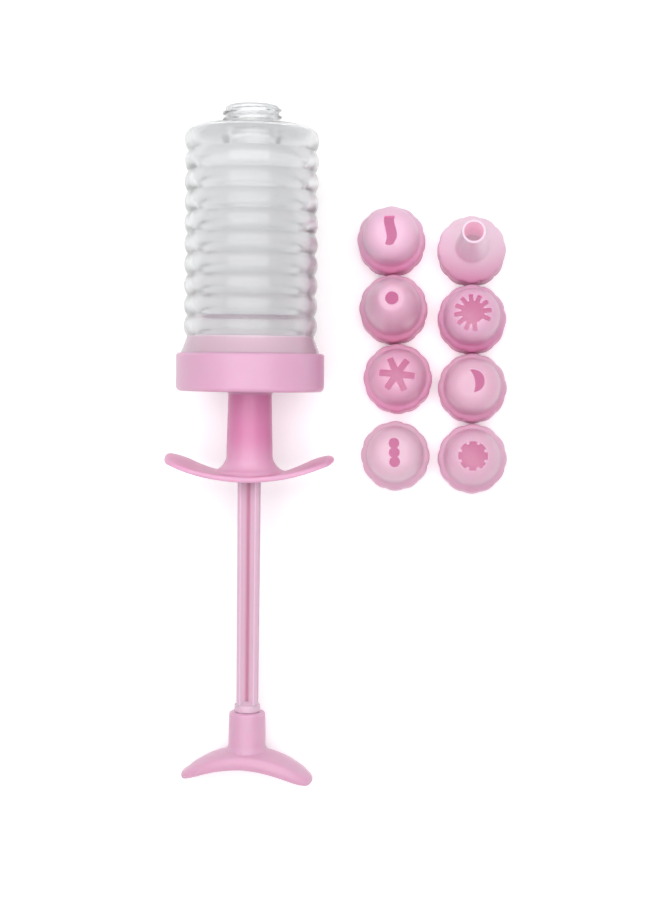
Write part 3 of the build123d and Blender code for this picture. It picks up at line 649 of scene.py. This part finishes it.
# thumb rest: thick bowed leaf on a socket, turned a little on the rod
thumb = {"halfSpan": 26.5, "halfDepth": 9.2, "crown": -141.0, "riseSize": -10.0, "curlSize": 2.5,
         "thickness": 6.8, "lip": 0.8, "underShare": 0.4, "slices": 80, "tip": 0.06, "swell": 0.08,
         "stations": (0, 0.3, 0.55, 0.78, 0.92, 1), "rise": (0, 0.088, 0.3, 0.64, 0.93, 1.05),
         "curl": (1, 0.96, 0.83, 0.56, 0.3, 0.2), "depth": (1, 0.98, 0.91, 0.75, 0.52, 0.3),
         "thick": (1, 0.99, 0.94, 0.8, 0.57, 0.42), "turn": -5.0, "socket": 7.45, "mouth": 7.2,
         "socketTop": -126.9, "socketEdge": 0.9, "socketFlare": 0.7, "socketRoot": 1.5, "steps": 24,
         "plug": 4.45, "plugDepth": 10.55, "overrun": 3.0, "stemMargins": (0.2, 3.0), "voxel": 0.32}


def socketForm(size):
    crown, top, edge, flare = pick(size, "crown", "socketTop", "socketEdge", "socketFlare")
    radius, mouth, steps = pick(size, "socket", "mouth", "steps")
    wide, start = radius + flare, crown + flare
    profile = [(wide, crown - size["socketRoot"]), (wide, crown - flare), (radius, start)]
    for step in range(1, steps):
        t = step / steps
        profile.append((radius + (mouth - radius) * t, start + (top - edge - crown - flare) * t))
    profile += arc((mouth - edge, top - edge), edge, 0, 90, 7)
    return loftRings([ellipse(r, r, z) for r, z in profile])


def makeThumbRest(size):
    top, (above, below) = pick(size, "socketTop", "stemMargins")
    hole = (size["plug"], top - size["plugDepth"], top + size["overrun"])
    stem = (top - size["socketEdge"] - above, size["crown"] + below, size["mouth"], size["socket"])
    place = penPlace @ Matrix.Rotation(radians(size["turn"]), 4, "Z")
    piece = meltTogether("thumbRest", [socketForm(size), leafForm(size)], size["voxel"], hole, stem,
                         thumbPlastic, place)
    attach(piece, "plunger")
    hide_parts("thumb_rest")


makeThumbRest(thumb)
print("thumb rest made")

# plunger rod: cross in section, thinner towards the thumb
rod = {"top": 2.1, "bottom": -123.9, "sink": 0.5, "span": 10.8, "spanEnd": 9.9, "fin": 2.2,
       "edge": 0.5, "root": 0.35, "slices": 40, "flange": 9.0, "flangeTop": 4.1, "flangeEdge": 0.3,
       "peg": 3.0, "head": 3.8, "headEdge": 0.8, "headBottom": 7.3, "headTop": 10.7, "disc": 5.1,
       "discEdges": (0.5, 0.4), "discBottom": -126.9, "plug": 4.4, "plugBottom": -137.4,
       "plugEdge": 0.6, "gussetHeights": (1.5, 1.1), "gussetRadii": (2.2, 3.4), "crease": 50,
       "segments": 96}


def crossRing(size, span, height):
    half, tip, edge, root = size["fin"] / 2, span / 2, size["edge"], size["root"]
    arm = arc((tip - edge, -half + edge), edge, -90, 0, 6)
    arm += arc((tip - edge, half - edge), edge, 0, 90, 6)
    arm += arc((half + root, half + root), root, -90, -180, 6)  # rounded inner corner to the next arm
    return [(x, y, height) for quarter in range(4) for x, y in turned(arm, 45 + 90 * quarter)]


def makeRod(size):
    top, bottom, disc, discBottom = pick(size, "top", "bottom", "disc", "discBottom")
    ends = (size["span"], top), (size["spanEnd"], bottom - size["sink"])
    rings = [crossRing(size, *between(*ends, step / size["slices"])) for step in range(size["slices"] + 1)]
    shaft = oneMesh("plungerRod", [loftRings(rings)])
    shaft.materials.append(rodPlastic)
    shaft.shade_smooth()
    head, headTop, headBottom, edge, peg = pick(size, "head", "headTop", "headBottom", "headEdge", "peg")
    front = corners((0, headTop), (head - edge, headTop), (head, headTop - edge), (head, headBottom),
                    (peg, headBottom))
    flange, flangeTop, edge = pick(size, "flange", "flangeTop", "flangeEdge")
    front += corners((peg, flangeTop), (flange - edge, flangeTop), (flange, flangeTop - edge),
                     (flange, top + edge), (flange - edge, top), (0, top))
    (inner, outer), (high, low), (upper, lower) = pick(size, "gussetRadii", "gussetHeights", "discEdges")
    back = corners((0, bottom + high), (inner, bottom + high), (outer, bottom + low))
    back += arcRows((disc - upper, bottom - upper), upper, 100, 0, 6)
    back += arcRows((disc - lower, discBottom + lower), lower, 0, -90, 5)
    plug, plugBottom, edge = pick(size, "plug", "plugBottom", "plugEdge")
    back += corners((plug, discBottom), (plug, plugBottom + edge), (plug - edge, plugBottom),
                    (0, plugBottom))
    ends = [turnForm(name, rows[::-1], rodPlastic, penPlace, {"Segments": size["segments"]})
            for name, rows in (("rodFront", front), ("rodBack", back))]
    piece = joinPieces(finishMesh("plungerRod", shaft, penPlace, size["crease"]), *ends)
    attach(piece, "plunger")
    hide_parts("plunger_rod")


makeRod(rod)
print("rod made")

for node, material in (("piston", pistonPlastic), ("piston_seal", sealRubber)):
    for slot in frame["nodes"][node].material_slots:
        slot.material = material


# outlines of the nozzles' outlets

def evenSteps(line, count):  # even steps along a line of points, without its last point
    lengths = [dist(a, b) for a, b in zip(line, line[1:])]
    total, out, index, passed = sum(lengths), [], 0, 0.0
    for step in range(count):
        goal = total * step / count
        while passed + lengths[index] < goal:
            passed += lengths[index]
            index += 1
        share = (goal - passed) / max(lengths[index], 1e-9)
        out.append(between(line[index], line[index + 1], share))
    return out


def evenPoints(points, count):  # even steps round a closed outline, from its right-hand side
    start = min(range(len(points)), key=lambda i: abs(atan2(points[i][1], points[i][0])))
    points = points[start:] + points[:start]
    area = sum(a[0] * b[1] - b[0] * a[1] for a, b in zip(points, points[1:] + points[:1]))
    if area < 0:
        points = [points[0]] + points[:0:-1]
    return evenSteps(points + [points[0]], count)


def evenRays(reachAt, count, rays, turn, fine=300):  # the same number of points for every ray
    first = radians(turn) - pi / rays
    out = []
    for ray in range(rays):
        angles = [first + (ray + t / fine) * tau / rays for t in range(fine + 1)]
        line = [(reachAt(angle) * cos(angle), reachAt(angle) * sin(angle)) for angle in angles]
        out += evenSteps(line, count // rays)
    shift = round(first / tau * count)
    return [out[(index - shift) % count] for index in range(count)]


def roundOutlet(radius, fine=3600):
    return [(x, y) for x, y, z in ellipse(radius, radius, 0, fine)]


def starOutlet(places, reach, core, width, turn, count, missing=()):
    def reachAt(angle):
        best = core
        for place in set(range(places)).difference(missing):
            off = angle - radians(turn) - place * tau / places
            off = abs((off + pi) % tau - pi)
            if off < pi / 2:
                best = max(best, min(reach / cos(off), width / 2 / max(sin(off), 1e-6)))
        return best
    return evenRays(reachAt, count, places, turn)


def rosetteOutlet(teeth, reach, core, notch, turn, count):
    def reachAt(angle):
        off = abs((angle - radians(turn) + pi / teeth) % (tau / teeth) - pi / teeth)
        return core / cos(off) if core * tan(off) < notch / 2 else reach
    return evenRays(reachAt, count, teeth, turn)


def beadOutlet(radius, spacing, beads, turn, fine=61):
    waist = degrees(acos(spacing / 2 / radius))
    spots = [(i - (beads - 1) / 2) * spacing for i in range(beads)]
    side = []
    for spot in spots:
        low = -180 if spot == spots[0] else -180 + waist
        high = 0 if spot == spots[-1] else -waist
        side += arc((spot, 0), radius, low, high, fine)
    return turned(side + [(-x, -y) for x, y in side], turn)


def crescentOutlet(height, outerBow, innerBow, offset, turn, lift):
    low, high = (-offset, -height / 2), (-offset, height / 2)
    points = arcThrough(low, (outerBow - offset, 0), high, 200)
    points += arcThrough(high, (innerBow - offset, 0), low, 140)
    return [(x, y + lift) for x, y in turned(points, turn)]


def splineThrough(points, steps=40):
    full = [points[0], *points, points[-1]]
    out = []
    for index in range(1, len(full) - 2):
        axes = list(zip(*full[index - 1:index + 3]))
        for step in range(steps):
            t = step / steps
            out.append(tuple(0.5 * (2 * b + (c - a) * t + (2 * a - 5 * b + 4 * c - d) * t ** 2
                                    + (3 * b - a - 3 * c + d) * t ** 3) for a, b, c, d in axes))
    return out + [points[-1]]


def waveOutlet(length, width, left, foot, right):
    leftSide = splineThrough([(x * width, y * length) for x, y in left])
    rightSide = splineThrough([(x * width, y * length) for x, y in right])
    footArc = arcThrough(rightSide[-1], (foot[0] * width, foot[1] * length), leftSide[-1], 30)
    return rightSide + footArc[1:] + leftSide[::-1]


def softCorners(points, passes):
    for _ in range(passes):
        around = zip(points[-1:] + points, points, points[1:] + points[:1])
        points = [tuple((a[k] + 2 * b[k] + c[k]) / 4 for k in (0, 1)) for a, b, c in around]
    return points


# nozzles: scalloped skirt, dome and outlet
nozzle = {"crest": 13.85, "scallops": 12, "scallopRadius": 7.2, "skirt": 11.4, "round": 2.6,
          "bore": 11.75, "seat": 9.0, "wall": 1.5, "draft": 0.4, "corner": 1.9, "crown": 8.0,
          "flat": 3.7, "lean": 0.0, "rimEdge": 0.4, "seatEdge": 0.1, "threadStart": 1.6,
          "threadTurns": 1.9, "threadRows": 44, "segments": 240, "crease": 42, "soft": 0,
          # the fade line and fade: where the painted shade of the lower side turns into the painted lit top
          "paintedLightLine": (0, 0.55, 0.83), "fade": (-0.004, 0.014), "inside": insideGlowPlastic,
          "ringGap": 0.9, "ringStep": 0.8, "sideGaps": (0.5, 0.4),  # rings round the outlet
          "outletShares": (0, 0.12, 0.26, 0.4, 0.54, 0.68, 0.8, 0.9, 0.965),
          "outerEdge": ((-0.04, 0.99), (-0.14, 1.0), (-0.5, 1.0)), "innerEdge": ((0.1, 1.0), (0, 0.97))}


def fadeScallops(rows, size):  # from full size at the crest to nothing at the foot of the dome
    for row in rows:
        row["scallop"] = max(0, row["r"] - size["crest"] + size["round"]) / size["round"]
    return rows


def skirtRows(size, end, count):  # from the table to the soft shoulder, which ends at an angle
    crest, rounding, rim = pick(size, "crest", "round", "rimEdge")
    foot, low = crest - rounding, size["skirt"] - rounding
    rows = corners((crest - rim, 0), (crest - rim / 4, 0.3 * rim), (crest, rim), scallop=1)
    rows += lineRows((crest, 3 * rim), (crest, low - rim), 6, scallop=1)
    return rows + fadeScallops(arcRows((foot, low), rounding, 4, end, count), size)


def boreRows(size):  # from the seat through the thread to the table
    bore, seat, edge, rim = pick(size, "bore", "seat", "seatEdge", "rimEdge")
    rows = lineRows((bore, seat - edge), (bore, rim), size["threadRows"], thread=-1)
    return corners((bore - edge, seat)) + rows + corners((bore + rim, 0))


def nozzleRows(size, outline):
    crest, rounding, corner, wall, flat = pick(size, "crest", "round", "corner", "wall", "flat")
    gap, ringStep, (outerGap, innerGap) = pick(size, "ringGap", "ringStep", "sideGaps")
    foot = crest - rounding
    side, base = foot - size["draft"], size["height"] - size["crown"]
    rise = sqrt(rounding ** 2 + 2 * rounding * corner)  # the shoulder flows into the dome
    meet = degrees(atan2(rise, corner))
    middle = (foot + corner - 0.05, size["skirt"] - rounding + rise)
    rows = skirtRows(size, meet, 9)
    rows += fadeScallops(arcRows(middle, corner, 176 + meet, 183, 7), size)
    rows += lineRows(shifted((foot, middle[1]), (-0.08, 0.3)), (side, base), 5)
    crown, lean = pick(size, "crown", "lean")
    outer = {"domed": 1, "side": side * mm, "crown": (crown - lean) * mm, "lean": lean * mm}
    inner = {**outer, "side": (side - wall) * mm, "crown": (crown - lean - wall) * mm}

    ringRadius = min(max(hypot(x, y) for x, y in outline) + gap, side - outerGap)
    dome = [flat + (side - flat) * cos(radians(step * 90 / 17)) for step in range(1, 17)]
    dome = [radius for radius in dome if radius > ringRadius + 0.25]
    step = dome[-1] if dome else side
    while step - ringStep > ringRadius:  # down to the ring that turns into the outlet
        step -= ringStep
        dome.append(step)
    innerRing = min(ringRadius, side - wall - innerGap)
    rows += corners(*((radius, 0) for radius in dome), **outer)
    for share in size["outletShares"]:
        rows += corners((ringRadius, 0), outlet=share, **outer)
    for surface, edge in ((outer, size["outerEdge"]), (inner, size["innerEdge"])):
        for z, share in edge:
            rows += corners((ringRadius, z), outlet=share, **surface)
    for share in size["outletShares"][-2::-1]:
        rows += corners((innerRing, 0), outlet=share, **inner)
    dome = [radius for radius in dome[::-1] if innerRing + 0.2 < radius < side - wall - 0.1]
    rows += corners(*((radius, 0) for radius in dome), **inner)
    rows += lineRows((side - wall, base), (foot - wall, size["seat"] + 0.3), 4)
    return rows + corners((foot - wall + 0.2, size["seat"])) + boreRows(size) + rows[:1]


def placeNozzle(size, rows, outline=()):
    name = size["node"]
    low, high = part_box(name)
    centre = Vector(((low[0] + high[0]) / 2, (low[1] + high[1]) / 2, 0))
    settings = {"Segments": size["segments"], "Scallops": size["scallops"],
                "Scallop Radius": size["scallopRadius"] * mm, "Crest Radius": size["crest"] * mm,
                "Dome Base": (size["height"] - size["crown"]) * mm, "Dome Flat": size["flat"] * mm,
                "Thread Start": size["threadStart"] * mm, "Thread Turns": size["threadTurns"]}
    first, *others = name.split("_")[1:]
    pieceName = first + "".join(word.title() for word in others) + "Nozzle"
    # painted light: the pale colour takes the lit top and the reflection on the dome, the deep pink the
    # shaded lower side and skirt
    look = {**nozzleLook, "Base": tint(*size["pale"]), "Deep": tint(*size["deep"]),
            "Zone": (alongLine, centre, size["paintedLightLine"], size["fade"])}
    plastic = makePlastic(pieceName + "Plastic", look)
    place = Matrix.Translation(centre)
    piece = turnForm(pieceName, rows, plastic, place, settings, outline, size["crease"])

    def faceInside(face):
        out = (face.center - centre).to_2d().normalized()
        return face.normal.to_2d().dot(out) < -0.1 or face.normal.z < -0.3

    paintFaces(piece, size["inside"], faceInside)
    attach(piece, name + "_unit")
    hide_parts(name)


def makeNozzle(size):
    points = size["outlet"]
    if len(points) != size["segments"]:
        points = evenPoints(points, size["segments"])
    outline = softCorners(points, size["soft"])
    placeNozzle(size, nozzleRows(size, outline), outline)


wave = {"length": 12.8, "width": 4.1, "foot": (-0.08, -0.46),
        "left": ((-0.55, 0.455), (-0.62, 0.3), (-0.42, 0), (-0.31, -0.21), (-0.48, -0.42)),
        "right": ((0.43, 0.46), (0.36, 0.28), (0.58, 0), (0.64, -0.19), (0.33, -0.42))}
# pale and deep: the painted lit top and the painted shaded side of each nozzle
nozzles = (
    {"node": "nozzle_wave", "height": 28.0, "soft": 2,
     "pale": (238, 196, 220), "deep": (220, 128, 176), "outlet": waveOutlet(**wave)},
    {"node": "nozzle_round", "height": 34.5, "crown": 18.0, "flat": 4.8, "lean": 5.4,
     "pale": (232, 186, 210), "deep": (212, 126, 166), "outlet": roundOutlet(radius=2.6)},
    {"node": "nozzle_star_six", "height": 22.0, "soft": 2, "segments": 288, "inside": wideInsideGlowPlastic,
     "pale": (228, 176, 202), "deep": (224, 146, 186),
     "outlet": starOutlet(places=6, reach=7.0, core=2.5, width=2.6, turn=-5, count=288)},
    {"node": "nozzle_triple", "height": 25.0, "pale": (230, 194, 212), "deep": (224, 170, 198),
     "outlet": beadOutlet(radius=2.1, spacing=3.7, beads=3, turn=93)},
    {"node": "nozzle_star_large", "height": 25.0, "soft": 2, "segments": 336, "inside": wideInsideGlowPlastic,
     "pale": (228, 182, 208), "deep": (208, 112, 162),
     "outlet": starOutlet(places=12, reach=7.4, core=4.3, width=1.8, turn=8, count=336, missing=(10,))},
    {"node": "nozzle_crescent", "height": 25.0, "soft": 1,
     "pale": (228, 184, 206), "deep": (214, 140, 178),
     "outlet": crescentOutlet(height=9.0, outerBow=5.0, innerBow=1.3, offset=0.6, turn=10, lift=0.9)},
    {"node": "nozzle_rosette", "height": 22.0, "soft": 1, "segments": 288, "inside": wideInsideGlowPlastic,
     "pale": (228, 186, 208), "deep": (218, 160, 190),
     "outlet": rosetteOutlet(teeth=8, reach=5.8, core=4.8, notch=1.1, turn=22.5, count=288)})
for changes in nozzles:
    makeNozzle({**nozzle, **changes})

# the filling tube has a straight tube instead of the dome
tube = {**nozzle, "node": "nozzle_filling_tube", "height": 45.0, "tip": 4.65, "base": 6.3,
        "footHeight": 15.0, "footFillet": 2.5, "tubeBore": 3.7, "lip": 0.3, "boreEdge": 0.2,
        "slantStart": (-0.6, 0.45), "slantEnd": (2.0, -1.45), "filletShift": (0.02, 1.35),
        "tubeStart": (-0.12, 3.0), "tubeEnd": (0.01, -0.8), "boreStart": (0.02, -1.0),
        # pale: painted light on the tall tube, deep: painted shade on the skirt
        "inside": tubeInsideGlowPlastic, "pale": (244, 214, 231), "deep": (200, 118, 160)}


def tubeRows(size):
    crest, skirt, wall, base, fillet = pick(size, "crest", "skirt", "wall", "base", "footFillet")
    rise, top, tip, lip = pick(size, "footHeight", "height", "tip", "lip")
    bore, edge, foot = size["tubeBore"], size["boreEdge"], crest - size["round"]
    slant = degrees(atan2(rise - skirt, foot - base))
    rows = skirtRows(size, 50, 8)
    corner = (base, rise)
    rows += lineRows(shifted((foot, skirt), size["slantStart"]), shifted(corner, size["slantEnd"]), 5)
    centre = shifted((base + fillet, rise), size["filletShift"])
    rows += arcRows(centre, fillet, 270 - slant, 183, 9)
    rows += lineRows(shifted(corner, size["tubeStart"]), shifted((tip, top), size["tubeEnd"]), 14)
    rows += arcRows((tip - lip, top - lip), lip, 0, 90, 5)
    rows += arcRows((bore + edge, top - edge), edge, 90, 180, 4)
    rows += lineRows(shifted((bore, top), size["boreStart"]), (base - wall, rise), 12)
    return rows + corners((foot - wall, size["seat"])) + boreRows(size) + rows[:1]


placeNozzle(tube, tubeRows(tube))
print("nozzles made")

# table, light and camera, in metres
studio = {"floorSize": 6.0, "floorDrop": 0.0001, "floorColor": (0.96, 0.96, 0.96, 1),
          "floorRoughness": 0.9, "floorShine": 0.1, "floorGlow": 0.28, "glassGlow": 0.22,
          "coverReach": 0.05, "coverFade": (0.06, 0.18), "farFade": (0.35, 1.2),
          "white": (1, 1, 1, 1), "skyStrength": 0.36, "softboxPower": 10.2,
          "softboxSize": (1.3, 1.2), "softboxPlace": (0.0, 0.05, 0.95)}
view = {"lens": 66.0, "place": (0.037563, -0.048879, 0.671), "turn": (4.2978, 3.4585, 1.0658)}


def floorGlow(tree, size):  # keeps the table white where it is seen bare, far off or through the barrel
    times, most = partial(calc, tree, "MULTIPLY"), partial(calc, tree, "MAXIMUM")
    path = addNode(tree, "ShaderNodeLightPath").outputs
    cover = addNode(tree, "ShaderNodeAmbientOcclusion", {"Distance": size["coverReach"]}, samples=16)
    bare = ramp(tree, cover.outputs["AO"], *size["coverFade"])  # 0 inside a nozzle
    near = times(times(most(path["Is Camera Ray"], path["Is Glossy Ray"]), bare), size["floorGlow"])
    reach = vectorCalc(tree, "LENGTH", objectPlace(tree))["Value"]
    far = times(ramp(tree, reach, *size["farFade"]), path["Is Camera Ray"])
    return most(most(near, far), times(path["Is Transmission Ray"], size["glassGlow"]))


def makeFloor(size):
    half, z = size["floorSize"] / 2, -size["floorDrop"]
    mesh = bpy.data.meshes.new("floor")
    mesh.from_pydata([(-half, -half, z), (half, -half, z), (half, half, z), (-half, half, z)], [],
                     [(0, 1, 2, 3)])
    floor = addObject("floor", mesh)
    material = bpy.data.materials.new("whiteTable")
    material.use_nodes = True
    tree = material.node_tree
    for key, value in (("Base Color", size["floorColor"]), ("Roughness", size["floorRoughness"]),
                       ("Specular IOR Level", size["floorShine"]), ("Emission Color", size["white"]),
                       ("Emission Strength", floorGlow(tree, size))):
        feed(tree, tree.nodes["Principled BSDF"].inputs[key], value)
    mesh.materials.append(material)


def makeLights(size):
    world = bpy.data.worlds.new("studio")
    bpy.context.scene.world = world
    world.use_nodes = True
    tree = world.node_tree
    sky = tree.nodes["Background"]
    sky.inputs["Color"].default_value = size["white"]
    sky.inputs["Strength"].default_value = size["skyStrength"]
    backdrop = addNode(tree, "ShaderNodeBackground", {"Color": size["white"]})
    path = addNode(tree, "ShaderNodeLightPath").outputs
    shaders = {0: path["Is Camera Ray"], 1: sky.outputs[0], 2: backdrop.outputs[0]}
    mix = addNode(tree, "ShaderNodeMixShader", shaders)
    feed(tree, tree.nodes["World Output"].inputs[0], mix.outputs[0])
    light = bpy.data.lights.new("softbox", "AREA")
    light.shape = "RECTANGLE"
    light.size, light.size_y = size["softboxSize"]
    light.energy = size["softboxPower"]
    addObject("softbox", light).location = size["softboxPlace"]


def makeCamera(size):
    camera = bpy.data.cameras.new("camera")
    camera.lens = size["lens"]
    spot = addObject("camera", camera)
    spot.location = size["place"]
    spot.rotation_euler = [radians(angle) for angle in size["turn"]]
    bpy.context.scene.camera = spot


makeFloor(studio)
makeLights(studio)
makeCamera(view)
bpy.context.scene.view_settings.view_transform = "Standard"
print("stage made")
